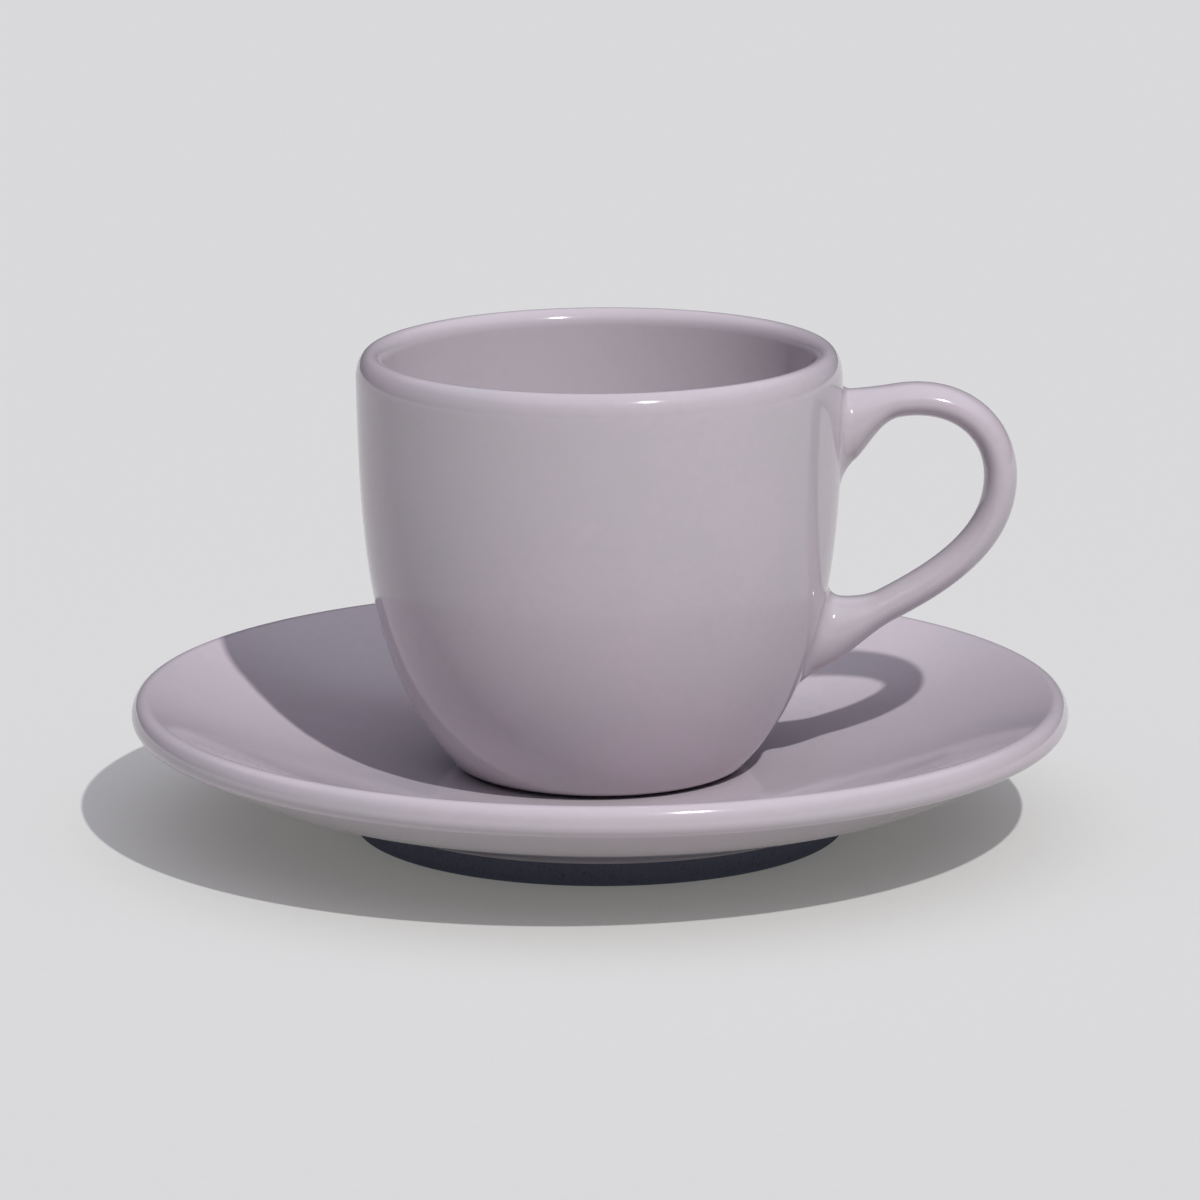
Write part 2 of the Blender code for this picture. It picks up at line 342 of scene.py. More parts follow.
@dataclass(frozen=True)
class BareClayPaintedShadeDark:
    """Fired stoneware clay that was wiped clean of glaze, so that it did not stick to the kiln shelf.

    The eye gets a dry ring with fine sandy grog and no mirror; its dark slate-blue is painted shade, standing
    in for the shade that falls on the foot under the saucer.
    """

    name: str = "bare clay painted shade dark"
    # painted shade: both clay colours are dark slate-blue to stand in for the shade on the foot, not the
    # clay's own buff
    clay: str = "63677A"
    grog: str = "4E5262"
    ior: float = 1.5
    roughness: float = 0.85
    grog_mm: float = 0.5
    grog_height_mm: float = 0.03
    grog_range: tuple[float, float] = (0.5, 0.72)

    def material(self) -> bpy.types.Material:
        """Build the clay's shader.

        Returns:
            A material on Object coordinates.
        """
        material = bpy.data.materials.new(self.name)
        material.use_nodes = True
        tree = material.node_tree
        shader = tree.nodes["Principled BSDF"]
        place = add_node(tree, "ShaderNodeTexCoord", {}).outputs["Object"]
        sand = add_node(
            tree,
            "ShaderNodeTexNoise",
            {"Vector": place, "Scale": 1 / (self.grog_mm * MM), "Detail": 4.0, "Roughness": 0.7},
        )
        share = add_node(
            tree,
            "ShaderNodeMapRange",
            {
                "Value": sand.outputs["Fac"],
                "From Min": self.grog_range[0],
                "From Max": self.grog_range[1],
            },
        )
        colour = add_node(
            tree,
            "ShaderNodeMix",
            {0: share.outputs["Result"], 6: linear(self.clay), 7: linear(self.grog)},
            data_type="RGBA",
        )
        bump = add_node(
            tree,
            "ShaderNodeBump",
            {"Height": sand.outputs["Fac"], "Strength": 1.0, "Distance": self.grog_height_mm * MM},
        )
        tree.links.new(colour.outputs[2], shader.inputs["Base Color"])
        tree.links.new(bump.outputs["Normal"], shader.inputs["Normal"])
        shader.inputs["Roughness"].default_value = self.roughness
        shader.inputs["IOR"].default_value = self.ior
        return material


@dataclass(frozen=True)
class OpalAcrylic:
    """The sheet of matt opal acrylic that the set stands on, a product photographer's light table.

    The eye gets an even pale ground without any shine. The sheet itself glows faintly and evenly, painted
    light with no lamp below it, so that shadows on it are grey.
    """

    name: str = "matt opal acrylic"
    opal: str = "BEBEBB"
    haze: str = "BCBCB9"
    painted_glow: float = 0.25
    roughness: float = 0.95
    haze_mm: float = 2.0

    def material(self) -> bpy.types.Material:
        """Build the acrylic's shader.

        Returns:
            A material on Object coordinates.
        """
        material = bpy.data.materials.new(self.name)
        material.use_nodes = True
        tree = material.node_tree
        shader = tree.nodes["Principled BSDF"]
        place = add_node(tree, "ShaderNodeTexCoord", {}).outputs["Object"]
        clouds = add_node(
            tree,
            "ShaderNodeTexNoise",
            {"Vector": place, "Scale": 1 / (self.haze_mm * MM), "Detail": 2.0},
        )
        colour = add_node(
            tree,
            "ShaderNodeMix",
            {0: clouds.outputs["Fac"], 6: linear(self.opal), 7: linear(self.haze)},
            data_type="RGBA",
        )
        tree.links.new(colour.outputs[2], shader.inputs["Base Color"])
        tree.links.new(colour.outputs[2], shader.inputs["Emission Color"])
        # painted light: the floor emits a faint glow of its own colour, though no lamp lies below it
        shader.inputs["Emission Strength"].default_value = self.painted_glow
        shader.inputs["Roughness"].default_value = self.roughness
        shader.inputs["Specular IOR Level"].default_value = 0.0
        return material


class TurningTree:
    """The Geometry Nodes tree that turns a half section about Z.

    Its inputs are the section as a chain of points, the counts of rows and steps, the glaze and the bare
    clay, which is painted dark as shade, the height below which the clay is bare and painted dark, how far
    the rim is drawn in on the +X side and how steeply it tilts up towards there, and the two heights between
    which both set in.
    """

    SOCKETS = (
        ("Section", "NodeSocketGeometry"),
        ("Rows", "NodeSocketInt"),
        ("Steps", "NodeSocketInt"),
        ("Glaze", "NodeSocketMaterial"),
        ("Clay", "NodeSocketMaterial"),
        ("Bare Shade Dark Below", "NodeSocketFloat"),
        ("Draw In", "NodeSocketFloat"),
        ("Tilt", "NodeSocketFloat"),
        ("Rim From", "NodeSocketFloat"),
        ("Rim To", "NodeSocketFloat"),
    )
    SPREAD = 6.0
    WELD = 1e-7

    def __init__(self) -> None:
        """Build the tree."""
        self.tree = bpy.data.node_groups.new("turning", "GeometryNodeTree")
        for name, kind in self.SOCKETS:
            self.tree.interface.new_socket(name=name, in_out="INPUT", socket_type=kind)
        self.tree.interface.new_socket(name="Turned", in_out="OUTPUT", socket_type="NodeSocketGeometry")
        self._wire()

    def _wire(self) -> None:
        """Lay the nodes: a grid of steps by rows, each row set on its circle round Z."""
        tree = self.tree
        given = add_node(tree, "NodeGroupInput", {}).outputs
        columns = add_node(tree, "ShaderNodeMath", {0: given["Steps"], 1: 1.0}, operation="ADD")
        grid = add_node(
            tree,
            "GeometryNodeMeshGrid",
            {
                "Size X": 1.0,
                "Size Y": 1.0,
                "Vertices X": columns.outputs["Value"],
                "Vertices Y": given["Rows"],
            },
        )
        spot = add_node(tree, "GeometryNodeInputPosition", {}).outputs["Position"]
        flat = add_node(tree, "ShaderNodeSeparateXYZ", {"Vector": spot})
        angle = add_node(
            tree,
            "ShaderNodeMath",
            {0: flat.outputs["X"], 1: math.tau, 2: math.pi},
            operation="MULTIPLY_ADD",
        )
        last = add_node(tree, "ShaderNodeMath", {0: given["Rows"], 1: 1.0}, operation="SUBTRACT")
        height = add_node(tree, "ShaderNodeMath", {0: flat.outputs["Y"], 1: 0.5}, operation="ADD")
        along = add_node(
            tree,
            "ShaderNodeMath",
            {0: height.outputs["Value"], 1: last.outputs["Value"]},
            operation="MULTIPLY",
        )
        row = add_node(tree, "ShaderNodeMath", {0: along.outputs["Value"]}, operation="ROUND")
        sample = add_node(
            tree,
            "GeometryNodeSampleIndex",
            {"Geometry": given["Section"], "Value": spot, "Index": row.outputs["Value"]},
            data_type="FLOAT_VECTOR",
            domain="POINT",
        )
        section = add_node(tree, "ShaderNodeSeparateXYZ", {"Vector": sample.outputs["Value"]})
        cosine = add_node(tree, "ShaderNodeMath", {0: angle.outputs["Value"]}, operation="COSINE")
        sine = add_node(tree, "ShaderNodeMath", {0: angle.outputs["Value"]}, operation="SINE")
        facing = add_node(tree, "ShaderNodeMath", {0: cosine.outputs["Value"], 1: 0.0}, operation="MAXIMUM")
        lobe = add_node(
            tree,
            "ShaderNodeMath",
            {0: facing.outputs["Value"], 1: self.SPREAD},
            operation="POWER",
        )
        rise = add_node(
            tree,
            "ShaderNodeMapRange",
            {"Value": section.outputs["Z"], "From Min": given["Rim From"], "From Max": given["Rim To"]},
            interpolation_type="SMOOTHSTEP",
        )
        reach = add_node(
            tree,
            "ShaderNodeMath",
            {0: lobe.outputs["Value"], 1: rise.outputs["Result"]},
            operation="MULTIPLY",
        )
        drawn = add_node(
            tree,
            "ShaderNodeMath",
            {0: reach.outputs["Value"], 1: given["Draw In"]},
            operation="MULTIPLY",
        )
        radius = add_node(
            tree,
            "ShaderNodeMath",
            {0: section.outputs["X"], 1: drawn.outputs["Value"]},
            operation="SUBTRACT",
        )
        x = add_node(
            tree,
            "ShaderNodeMath",
            {0: radius.outputs["Value"], 1: cosine.outputs["Value"]},
            operation="MULTIPLY",
        )
        y = add_node(
            tree,
            "ShaderNodeMath",
            {0: radius.outputs["Value"], 1: sine.outputs["Value"]},
            operation="MULTIPLY",
        )
        slope = add_node(
            tree,
            "ShaderNodeMath",
            {0: rise.outputs["Result"], 1: given["Tilt"]},
            operation="MULTIPLY",
        )
        z = add_node(
            tree,
            "ShaderNodeMath",
            {0: x.outputs["Value"], 1: slope.outputs["Value"], 2: section.outputs["Z"]},
            operation="MULTIPLY_ADD",
        )
        turned = add_node(
            tree,
            "ShaderNodeCombineXYZ",
            {"X": x.outputs["Value"], "Y": y.outputs["Value"], "Z": z.outputs["Value"]},
        )
        placed = add_node(
            tree,
            "GeometryNodeSetPosition",
            {"Geometry": grid.outputs["Mesh"], "Position": turned.outputs["Vector"]},
        )
        welded = add_node(
            tree,
            "GeometryNodeMergeByDistance",
            {"Geometry": placed.outputs["Geometry"], "Distance": self.WELD},
        )
        smooth = add_node(
            tree,
            "GeometryNodeSetShadeSmooth",
            {"Geometry": welded.outputs["Geometry"], "Shade Smooth": True},
        )
        real = add_node(tree, "GeometryNodeRealizeInstances", {"Geometry": smooth.outputs["Geometry"]})
        glazed = add_node(
            tree,
            "GeometryNodeSetMaterial",
            {"Geometry": real.outputs["Geometry"], "Material": given["Glaze"]},
        )
        level = add_node(tree, "ShaderNodeSeparateXYZ", {"Vector": spot})
        low = add_node(
            tree,
            "FunctionNodeCompare",
            {0: level.outputs["Z"], 1: given["Bare Shade Dark Below"]},
            data_type="FLOAT",
            operation="LESS_THAN",
        )
        # painted shade: faces below this height get the bare clay, painted dark to stand in for the shade on
        # the foot
        bared_shade_dark = add_node(
            tree,
            "GeometryNodeSetMaterial",
            {
                "Geometry": glazed.outputs["Geometry"],
                "Selection": low.outputs["Result"],
                "Material": given["Clay"],
            },
        )
        add_node(tree, "NodeGroupOutput", {0: bared_shade_dark.outputs["Geometry"]})

    def turn(self, name: str, section: list[Vector], sizes: dict[str, Any]) -> bpy.types.Object:
        """Turn one half section.

        Args:
            name: The piece's name.
            section: Its points in metres, radius first, from axis to axis.
            sizes: Values for the tree's inputs, by name.

        Returns:
            The turned piece as a plain mesh at the origin.
        """
        chain = bpy.data.meshes.new(name)
        chain.from_pydata([(p.x, 0.0, p.y) for p in section], [], [])
        piece = bpy.data.objects.new(name, chain)
        bpy.context.scene.collection.objects.link(piece)
        modifier = piece.modifiers.new("turning", "NODES")
        modifier.node_group = self.tree
        wanted = {"Rows": len(section), **sizes}
        for socket in self.tree.interface.items_tree:
            if socket.in_out == "INPUT" and socket.name in wanted:
                modifier[socket.identifier] = wanted[socket.name]
        piece.update_tag()
        graph = bpy.context.evaluated_depsgraph_get()
        solid = bpy.data.meshes.new_from_object(piece.evaluated_get(graph), depsgraph=graph)
        piece.modifiers.remove(modifier)
        piece.data = solid
        solid.name = name
        bpy.data.meshes.remove(chain)
        return piece


@dataclass
class Saucer:
    """The turned saucer: a shallow dish with a rolled rim, standing on a foot ring."""

    radius: float = 75.0
    rim_height: float = 19.0
    bead_top: float = 1.8
    bead_outer: float = 3.6
    bead_turn: float = math.radians(33.0)
    bead_under: float = 2.1
    well_height: float = 9.6
    well_radius: float = 25.2
    dish_angle: float = math.radians(22.48)
    underside_angle: float = math.radians(26.5)
    underside_width: float = 14.0
    underside_round: float = 40.0
    foot_radius: float = 39.4
    foot_width: float = 4.5
    foot_height: float = 4.2
    foot_taper: float = 0.7
    foot_round: float = 0.8
    base_thickness: float = 4.6
    # painted shade: below this height the foot is bare clay painted dark, standing in for the shade under the
    # saucer
    bare_shade_dark_below: float = 3.9
    steps: int = 240

    def bead(self) -> list[Vector]:
        """The rolled edge, from the dish over its crest and widest point to the underside.

        Returns:
            Its points in millimetres, radius first.
        """
        outer = Vector((self.radius - self.bead_outer, self.rim_height))
        top = outer + (self.bead_outer - self.bead_top) * unit(self.bead_turn)
        under = Vector((self.radius - self.bead_under, self.rim_height))
        return [
            *arc(top, self.bead_top, math.pi / 2 + self.dish_angle, self.bead_turn),
            *arc(outer, self.bead_outer, self.bead_turn, 0.0)[1:],
            *arc(under, self.bead_under, 0.0, self.underside_angle - math.pi / 2)[1:],
        ]

    def section(self) -> list[Vector]:
        """The half section, from the middle of the well over the rim to the middle of the underside.

        Returns:
            Its points in millimetres, radius first.
        """
        bead = self.bead()
        rise = bead[0].y - self.well_height
        dish = Vector((bead[0].x - rise / math.tan(self.dish_angle), self.well_height))
        knee_x = self.radius - self.underside_width
        knee = Vector((knee_x, bead[-1].y - math.tan(self.underside_angle) * (bead[-1].x - knee_x)))
        inside = self.foot_radius - self.foot_width
        recess = self.well_height - self.base_thickness
        dish_round = (dish.x - self.well_radius) / math.tan(self.dish_angle / 2)
        upper = rounded([(Vector((0.0, self.well_height)), 0.0), (dish, dish_round), (bead[0], 0.0)])
        lower = rounded([
            (bead[-1], 0.0),
            (knee, self.underside_round),
            (Vector((self.foot_radius + self.foot_taper, self.foot_height)), self.foot_round),
            (Vector((self.foot_radius, 0.0)), self.foot_round),
            (Vector((inside, 0.0)), self.foot_round),
            (Vector((inside - self.foot_taper, recess)), self.foot_round),
            (Vector((0.0, recess)), 0.0),
        ])
        return [*upper, *bead[1:], *lower[1:]]

    def build(self, turning: TurningTree, glaze: bpy.types.Material, clay: bpy.types.Material) -> None:
        """Turn the saucer and put it in the frame.

        Args:
            turning: The tree that turns it.
            glaze: Its glaze.
            clay: The bare clay of its foot, painted dark as shade.
        """
        sizes = {"Steps": self.steps, "Glaze": glaze, "Clay": clay, "Bare Shade Dark Below": self.bare_shade_dark_below * MM}
        plate = turning.turn("saucer_plate", [p * MM for p in self.section()], sizes)
        place(plate, Body.SAUCER, "saucer", "saucer")


@dataclass
class CupBowl:
    """The turned bowl of the cup: a tapering wall with a rounded lip, on a small foot ring.

    Heights are above the cup's own foot, which stands in the saucer's well.
    """

    foot_height: float = 9.9
    height: float = 67.6
    lip_radius: float = 38.77
    lip_depth: float = 4.0
    lip_inside_depth: float = 2.6
    lip_shoulder: float = 2.3
    wall: float = 4.5
    base_radius: float = 20.9
    base_round: float = 4.0
    base_flare: float = math.radians(48.5)
    belly_pull: float = 19.6
    lip_pull: float = 28.6
    lip_lean: float = math.radians(1.0)
    floor_thickness: float = 4.7
    inside_round: float = 10.0
    foot_width: float = 3.0
    foot_depth: float = 1.2
    foot_slope: float = 0.7
    # painted shade: below this height the cup's foot is the same bare clay painted dark as shade
    bare_shade_dark_below: float = 0.15
    draw_in: float = 0.35
    tilt: float = math.radians(0.4)
    rim_from: float = 56.0
    rim_to: float = 66.0
    wall_steps: int = 56
    lip_steps: int = 28
    steps: int = 240

    def wall_curve(self) -> tuple[Vector, Vector, Vector, Vector]:
        """The Bezier points of the outside wall, from its base corner up to its lip."""
        base_centre = Vector((self.base_radius, self.base_round))
        base = base_centre + self.base_round * unit(self.base_flare - math.pi / 2)
        lip = Vector((self.lip_radius, self.height - self.lip_depth))
        below = lip - self.lip_pull * unit(math.pi / 2 - self.lip_lean)
        return base, base + self.belly_pull * unit(self.base_flare), below, lip

    def wall_at(self, share: float, standoff: float) -> Vector:
        """A point off the outside wall.

        Args:
            share: How far up the wall's curve, from 0 to 1.
            standoff: How far outside the wall; inside is negative.

        Returns:
            Its radius and height.
        """
        spot, along = bezier(self.wall_curve(), share)
        return spot - standoff * left_of(along)

    def wall_share(self, height: float) -> float:
        """How far up the wall's curve a height above the cup's foot lies."""
        low, high = 0.0, 1.0
        curve = self.wall_curve()
        for _ in range(HALVINGS):
            middle = (low + high) / 2
            if bezier(curve, middle)[0].y < height:
                low = middle
            else:
                high = middle
        return low

    def wall_point(self, height: float, side: float, standoff: float) -> np.ndarray:
        """A point on the handle's side of the bowl.

        Args:
            height: Height on the wall, above the cup's foot.
            side: How far along Y from the handle's plane.
            standoff: How far outside the wall.

        Returns:
            The point in millimetres, in the cup's own heights.
        """
        spot = self.wall_at(self.wall_share(height), standoff)
        set_in = min(max((spot.y - self.rim_from) / (self.rim_to - self.rim_from), 0.0), 1.0)
        set_in = set_in**2 * (3 - 2 * set_in)
        facing = math.sqrt(1 - (side / spot.x) ** 2)
        x = (spot.x - self.draw_in * set_in * facing**TurningTree.SPREAD) * facing
        return np.array((x, side, spot.y + x * set_in * math.tan(self.tilt)))

    def wall_normal(self, height: float, side: float) -> np.ndarray:
        """The wall's outward direction at a point on the handle's side.

        Args:
            height: Height on the wall, above the cup's foot.
            side: How far along Y from the handle's plane.

        Returns:
            A unit direction.
        """
        share = self.wall_share(height)
        spot, along = bezier(self.wall_curve(), share)
        turn = math.asin(side / spot.x)
        return np.array((along.y * math.cos(turn), along.y * math.sin(turn), -along.x))

    def inside_join(self) -> tuple[float, float]:
        """Where the inside's bottom round meets the wall.

        Returns:
            The share up the wall's curve and the wall's angle there.
        """
        low, high = 0.0, 1.0
        for _ in range(HALVINGS):
            middle = (low + high) / 2
            along = bezier(self.wall_curve(), middle)[1]
            if self.wall_at(middle, -self.wall).y - self.inside_round * (1 - along.x) < self.floor_thickness:
                low = middle
            else:
                high = middle
        along = bezier(self.wall_curve(), high)[1]
        return high, math.atan2(along.y, along.x)

    def lip_point(self, angle: float) -> Vector:
        """A point of the lip, a quarter oval on each side of its crest, from the outside (0) inwards."""
        outside = angle < math.pi / 2
        across = self.lip_shoulder if outside else self.wall - self.lip_shoulder
        depth = self.lip_depth if outside else self.lip_inside_depth
        crest = Vector((self.lip_radius - self.lip_shoulder, self.height))
        return crest + Vector((across * math.cos(angle), depth * (math.sin(angle) - 1.0)))

    def section(self) -> list[Vector]:
        """The half section, from the middle of the inside over the lip to the middle of the foot.

        Returns:
            Its points in millimetres, radius first.
        """
        share, angle = self.inside_join()
        centre = self.wall_at(share, -self.wall) + self.inside_round * left_of(unit(angle))
        inside = arc(centre, self.inside_round, -math.pi / 2, angle - math.pi / 2)
        for i in range(1, self.wall_steps + 1):
            inside.append(self.wall_at(share + (1 - share) * i / self.wall_steps, -self.wall))
        lip = [self.lip_point(math.pi * (1 - i / self.lip_steps)) for i in range(self.lip_steps + 1)]
        outside = [self.wall_at(1 - i / self.wall_steps, 0.0) for i in range(1, self.wall_steps)]
        base_centre = Vector((self.base_radius, self.base_round))
        base = arc(base_centre, self.base_round, self.base_flare - math.pi / 2, -math.pi / 2)
        foot_inside = self.base_radius - self.foot_width
        return stepped([
            Vector((0.0, self.floor_thickness)),
            *inside,
            *lip,
            *outside,
            *base,
            Vector((foot_inside, 0.0)),
            Vector((foot_inside - self.foot_slope, self.foot_depth)),
            Vector((0.0, self.foot_depth)),
        ])

    def build(self, turning: TurningTree, glaze: bpy.types.Material, clay: bpy.types.Material) -> None:
        """Turn the bowl and put it in the frame.

        Args:
            turning: The tree that turns it.
            glaze: Its glaze.
            clay: The bare clay of its foot, painted dark as shade.
        """
        raised = [(p + Vector((0.0, self.foot_height))) * MM for p in self.section()]
        sizes = {
            "Steps": self.steps,
            "Glaze": glaze,
            "Clay": clay,
            "Bare Shade Dark Below": (self.foot_height + self.bare_shade_dark_below) * MM,
            "Draw In": self.draw_in * MM,
            "Tilt": math.tan(self.tilt),
            "Rim From": (self.foot_height + self.rim_from) * MM,
            "Rim To": (self.foot_height + self.rim_to) * MM,
        }
        bowl = turning.turn("cup_bowl", raised, sizes)
        place(bowl, Body.CUP, "cup", "cup_body")


@dataclass
class CupHandle:
    """The ear-shaped handle, with a fillet of slip round each end where it was stuck to the bowl.

    Drops are below the lip, outs are beyond the lip's outside, heights are above the cup's foot.
    """

    bowl: CupBowl
    thickness: float = 5.3
    width: float = 8.6
    neck_out: float = 8.60
    neck_drop: float = 8.2
    neck_rise: float = math.radians(9.0)
    neck_pull: float = 9.9
    bend_out: float = 24.98
    bend_drop: float = 20.55
    bend_pull_up: float = 7.9
    bend_pull_down: float = 10.5
    tail_out: float = 6.94
    tail_height: float = 26.05
    tail_fall: float = math.radians(28.0)
    tail_pull: float = 9.5
    upper_root_drop: float = 13.0
    upper_root_span: float = 12.8
    upper_fillets: tuple[float, float, float] = (1.3, 2.4, 3.6)
    lower_root_height: float = 20.95
    lower_root_span: float = 13.2
    lower_fillets: tuple[float, float, float] = (3.0, 2.4, 2.8)
    root_width: float = 10.8
    sink: float = 0.03
    fillet_start: float = 0.95
    fillet_pull: float = 0.6
    sides: int = 56
    bend_steps: int = 40
    flare_steps: int = 18
    fillet_steps: int = 10

    def angles(self) -> np.ndarray:
        """The angles round a ring. The first is the loop's outer side."""
        return np.arange(self.sides) * math.tau / self.sides

    def bend_ring(self, share: float) -> tuple[np.ndarray, np.ndarray]:
        """An oval ring round the centre line.

        Args:
            share: Where on the line: neck at 0, bend at 1, tail at 2.

        Returns:
            The ring's points and the line's direction.
        """
        lip = self.bowl.lip_radius
        top = self.bowl.height
        neck = Vector((lip + self.neck_out, top - self.neck_drop))
        bend = Vector((lip + self.bend_out, top - self.bend_drop))
        tail = Vector((lip + self.tail_out, self.tail_height))
        rising = neck + self.neck_pull * unit(self.neck_rise)
        falling = tail + self.tail_pull * unit(self.tail_fall)
        over = (neck, rising, bend + Vector((0.0, self.bend_pull_up)), bend)
        under = (bend, bend - Vector((0.0, self.bend_pull_down)), falling, tail)
        spot, along = bezier(over, share) if share < 1.0 else bezier(under, share - 1.0)
        outward = left_of(along)
        across = self.thickness / 2 * np.cos(self.angles())
        ring = np.stack(
            (
                spot.x + across * outward.x,
                self.width / 2 * np.sin(self.angles()),
                spot.y + across * outward.y,
            ),
            axis=1,
        )
        return ring, np.array((along.x, 0.0, along.y))

    def root(self, end: HandleEnd, margin: np.ndarray, standoff: float) -> tuple[np.ndarray, np.ndarray]:
        """A ring on the bowl's wall round one end of the handle.

        Args:
            end: Which end.
            margin: How far the ring lies outside the end's own outline, at each of its points.
            standoff: How far off the wall.

        Returns:
            The ring's points and the wall's outward directions there.
        """
        if end is HandleEnd.UPPER:
            middle, half, sign = self.bowl.height - self.upper_root_drop, self.upper_root_span / 2, 1.0
        else:
            middle, half, sign = self.lower_root_height, self.lower_root_span / 2, -1.0
        heights = middle + sign * (half + margin) * np.cos(self.angles())
        sides = (self.root_width / 2 + margin) * np.sin(self.angles())
        points = [self.bowl.wall_point(h, s, standoff) for h, s in zip(heights, sides)]
        normals = [self.bowl.wall_normal(h, s) for h, s in zip(heights, sides)]
        return np.array(points), np.array(normals)

    def fillet_sizes(self, end: HandleEnd) -> np.ndarray:
        """How far the fillet reaches at each point round an end, blended from its outer to its inner side."""
        outer, flank, inner = self.upper_fillets if end is HandleEnd.UPPER else self.lower_fillets
        cosine = np.cos(self.angles())
        outer_share = np.clip(cosine, 0.0, 1.0) ** 2
        inner_share = np.clip(-cosine, 0.0, 1.0) ** 2
        return outer * outer_share + inner * inner_share + flank * (1 - outer_share - inner_share)

    def end_rings(self, end: HandleEnd) -> tuple[list[np.ndarray], list[np.ndarray], np.ndarray]:
        """The rings that lead from the loop to the wall at one end.

        Args:
            end: Which end.

        Returns:
            The swelling rings, the fillet's rings down to its toe, and the wall's directions at the toe.
        """
        ring, along = self.bend_ring(0.0 if end is HandleEnd.UPPER else 2.0)
        reach = self.fillet_sizes(end)
        seat, seat_normals = self.root(end, np.zeros(self.sides), 0.0)
        toe, toe_normals = self.root(end, reach, -self.sink)
        chord = seat - ring
        length = np.linalg.norm(chord, axis=1, keepdims=True)
        start = end.value * length * along
        arrive = 0.5 * chord - 0.5 * length * seat_normals
        stop = (1 - reach / length[:, 0] * self.fillet_start)[:, None]
        shares = [stop * i / self.flare_steps for i in range(1, self.flare_steps + 1)]
        flare = [self.rail(ring, start, seat, arrive, share) for share in shares]
        fillet = []
        for i in range(1, self.fillet_steps + 1):
            t = i / self.fillet_steps
            rest = 1 - t
            near = flare[-1] + self.fillet_pull * (seat - flare[-1])
            far = toe + self.fillet_pull * (seat - toe)
            fillet.append(rest**3 * flare[-1] + 3 * rest**2 * t * near + 3 * rest * t**2 * far + t**3 * toe)
        return flare, fillet, toe_normals

    @staticmethod
    def rail(
        start: np.ndarray, leave: np.ndarray, end: np.ndarray, arrive: np.ndarray, share: np.ndarray
    ) -> np.ndarray:
        """Points of the curves that lead from one ring to another.

        Args:
            start: The first ring.
            leave: The way each curve leaves it.
            end: The last ring.
            arrive: The way each curve arrives there.
            share: How far along each curve, from 0 to 1.

        Returns:
            One point on each curve.
        """
        a = 2 * share**3 - 3 * share**2 + 1
        b = share**3 - 2 * share**2 + share
        c = share**3 - share**2
        return a * start + b * leave + (1 - a) * end + c * arrive

    def build(self, glaze: bpy.types.Material) -> None:
        """Skin the handle and its two fillets and put them in the frame.

        Args:
            glaze: Their glaze.
        """
        up_flare, up_fillet, up_normals = self.end_rings(HandleEnd.UPPER)
        low_flare, low_fillet, low_normals = self.end_rings(HandleEnd.LOWER)
        loop = [self.bend_ring(i / self.bend_steps)[0] for i in range(2 * self.bend_steps + 1)]
        rings = np.array([*reversed(up_fillet), *reversed(up_flare), *loop, *low_flare, *low_fillet])
        around = np.roll(rings, -1, axis=1) - np.roll(rings, 1, axis=1)
        normals = np.cross(around, np.gradient(rings, axis=0))
        normals /= np.linalg.norm(normals, axis=2, keepdims=True)
        normals[0] = up_normals
        normals[-1] = low_normals
        rings = (rings + np.array((0.0, 0.0, self.bowl.foot_height))) * MM
        cut = self.fillet_steps
        parts = (
            ("cup_ear", slice(cut, len(rings) - cut), "handle", "cup_handle"),
            ("upper_slip_fillet", slice(0, cut + 1), "slip", "handle_upper_slip_joint"),
            ("lower_slip_fillet", slice(len(rings) - cut - 1, len(rings)), "slip", "handle_lower_slip_joint"),
        )
        for name, span, slot, node in parts:
            piece = skin(name, rings[span], normals[span], glaze)
            place(piece, Body.CUP, slot, node)


def skin(name: str, rings: np.ndarray, normals: np.ndarray, material: bpy.types.Material) -> bpy.types.Object:
    """Skin a closed piece over rings, with a flat fan on its first and last ring.

    Args:
        name: The piece's name.
        rings: Ring by ring, the points in metres.
        normals: The smooth surface's direction at each point, so that pieces that meet shade as one.
        material: Its finish.

    Returns:
        The piece at the origin.
    """
    count, sides = rings.shape[:2]
    points = np.vstack((rings.reshape(-1, 3), rings[0].mean(axis=0), rings[-1].mean(axis=0)))
    index = np.arange(count * sides).reshape(count, sides)
    following = np.roll(index, -1, axis=1)
    quads = np.stack((index[:-1], following[:-1], following[1:], index[1:]), axis=-1).reshape(-1, 4)
    first = [(count * sides, b, a) for a, b in zip(index[0], following[0])]
    last = [(count * sides + 1, a, b) for a, b in zip(index[-1], following[-1])]
    mesh = bpy.data.meshes.new(name)
    mesh.from_pydata(points.tolist(), [], [*quads.tolist(), *first, *last])
    mesh.shade_smooth()
    vertex_normals = normals.reshape(-1, 3)
    loop_normals = []
    for face in mesh.polygons:
        for corner in face.vertices:
            smooth = face.index < len(quads)
            loop_normals.append(tuple(vertex_normals[corner]) if smooth else tuple(face.normal))
    mesh.normals_split_custom_set(loop_normals)
    mesh.materials.append(material)
    piece = bpy.data.objects.new(name, mesh)
    bpy.context.scene.collection.objects.link(piece)
    return piece


def place(piece: bpy.types.Object, body: Body, slot: str, node: str) -> None:
    """Put a finished piece in the frame and report it.

    Args:
        piece: The piece.
        body: The body that it rides on.
        slot: Not used.
        node: The CAD node that it stands for.
    """
    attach(piece, body.value)
    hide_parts(node)
    LOG.info("%s rides on %s for %s: %d faces", piece.name, body.value, node, len(piece.data.polygons))


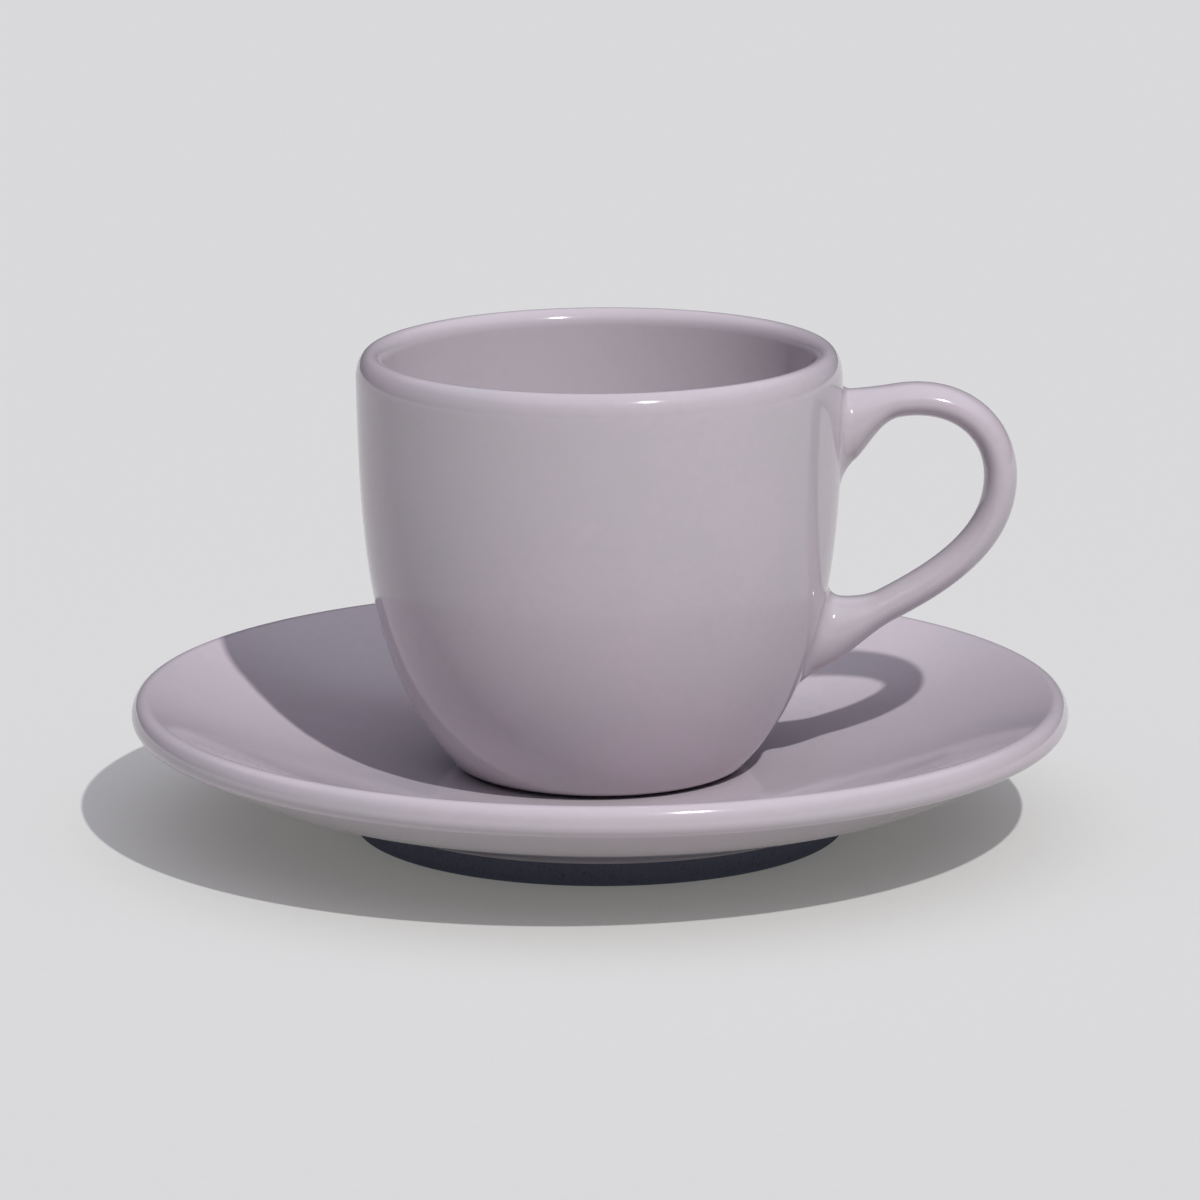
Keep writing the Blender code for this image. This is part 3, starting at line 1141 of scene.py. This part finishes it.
@dataclass
class Studio:
    """The floor, the lights and the camera."""

    floor_side: float = 3.0
    floor_drop: float = 0.00005
    lamp_place: tuple[float, float, float] = (0.412, -0.81, 1.03)
    lamp_power: float = 23.5
    lamp_radius: float = 0.016
    zenith: str = "EDEBFA"
    surround: str = "30323A"
    sky_strength: float = 0.93
    zenith_from: float = 0.44
    zenith_to: float = 0.76
    camera_place: tuple[float, float, float] = (0.0, -1.035, 0.2747)
    camera_pitch: float = math.radians(12.95)
    lens: float = 199.3
    sensor: float = 36.0
    nearest: float = 0.01
    farthest: float = 20.0

    def build_floor(self, acrylic: bpy.types.Material) -> None:
        """Lay the sheet under the set.

        Args:
            acrylic: The finish of the floor.
        """
        half = self.floor_side / 2
        mesh = bpy.data.meshes.new("floor")
        plan = ((-half, -half), (half, -half), (half, half), (-half, half))
        mesh.from_pydata([(x, y, -self.floor_drop) for x, y in plan], [], [(0, 1, 2, 3)])
        mesh.materials.append(acrylic)
        floor = bpy.data.objects.new("floor", mesh)
        bpy.context.scene.collection.objects.link(floor)
        floor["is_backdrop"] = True

    def build_lights(self) -> None:
        """Hang the key lamp, which lights the floor evenly, and light the dark room softly from above."""
        key = bpy.data.lights.new("key", "POINT")
        key.energy = self.lamp_power
        key.shadow_soft_size = self.lamp_radius
        key.use_nodes = True
        reach = add_node(key.node_tree, "ShaderNodeLightPath", {}).outputs["Ray Length"]
        even = add_node(key.node_tree, "ShaderNodeLightFalloff", {"Strength": reach})
        emission = key.node_tree.nodes["Emission"]
        key.node_tree.links.new(even.outputs["Constant"], emission.inputs["Strength"])
        lamp = bpy.data.objects.new("key", key)
        lamp.location = self.lamp_place
        bpy.context.scene.collection.objects.link(lamp)
        world = bpy.data.worlds.new("soft studio")
        bpy.context.scene.world = world
        world.use_nodes = True
        tree = world.node_tree
        away = add_node(tree, "ShaderNodeTexCoord", {}).outputs["Generated"]
        up = add_node(tree, "ShaderNodeSeparateXYZ", {"Vector": away})
        climb = add_node(
            tree,
            "ShaderNodeMapRange",
            {"Value": up.outputs["Z"], "From Min": self.zenith_from, "From Max": self.zenith_to},
            interpolation_type="SMOOTHSTEP",
        )
        colour = add_node(
            tree,
            "ShaderNodeMix",
            {0: climb.outputs["Result"], 6: linear(self.surround), 7: linear(self.zenith)},
            data_type="RGBA",
        )
        background = tree.nodes["Background"]
        tree.links.new(colour.outputs[2], background.inputs["Color"])
        background.inputs["Strength"].default_value = self.sky_strength

    def build_camera(self) -> None:
        """Stand the camera where the photograph was taken from."""
        camera = bpy.data.cameras.new("camera")
        camera.lens = self.lens
        camera.sensor_width = self.sensor
        camera.clip_start = self.nearest
        camera.clip_end = self.farthest
        stand = bpy.data.objects.new("camera", camera)
        stand.location = self.camera_place
        stand.rotation_euler = (math.pi / 2 - self.camera_pitch, 0.0, 0.0)
        bpy.context.scene.collection.objects.link(stand)
        bpy.context.scene.camera = stand
        bpy.context.scene.view_settings.view_transform = "Standard"


def corners() -> list[list[float]]:
    """The lowest and highest corner of the shown object as plain lists."""
    return [list(corner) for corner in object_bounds()]


def main() -> None:
    """Build the set around the frame and report each piece."""
    logging.basicConfig(level=logging.INFO, format="%(name)s: %(message)s")
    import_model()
    glaze = GlossGlaze().material()
    clay = BareClayPaintedShadeDark().material()
    turning = TurningTree()
    Saucer().build(turning, glaze, clay)
    bowl = CupBowl()
    bowl.build(turning, glaze, clay)
    CupHandle(bowl).build(glaze)
    studio = Studio()
    studio.build_floor(OpalAcrylic().material())
    studio.build_lights()
    studio.build_camera()


if __name__ == "__main__":
    main()
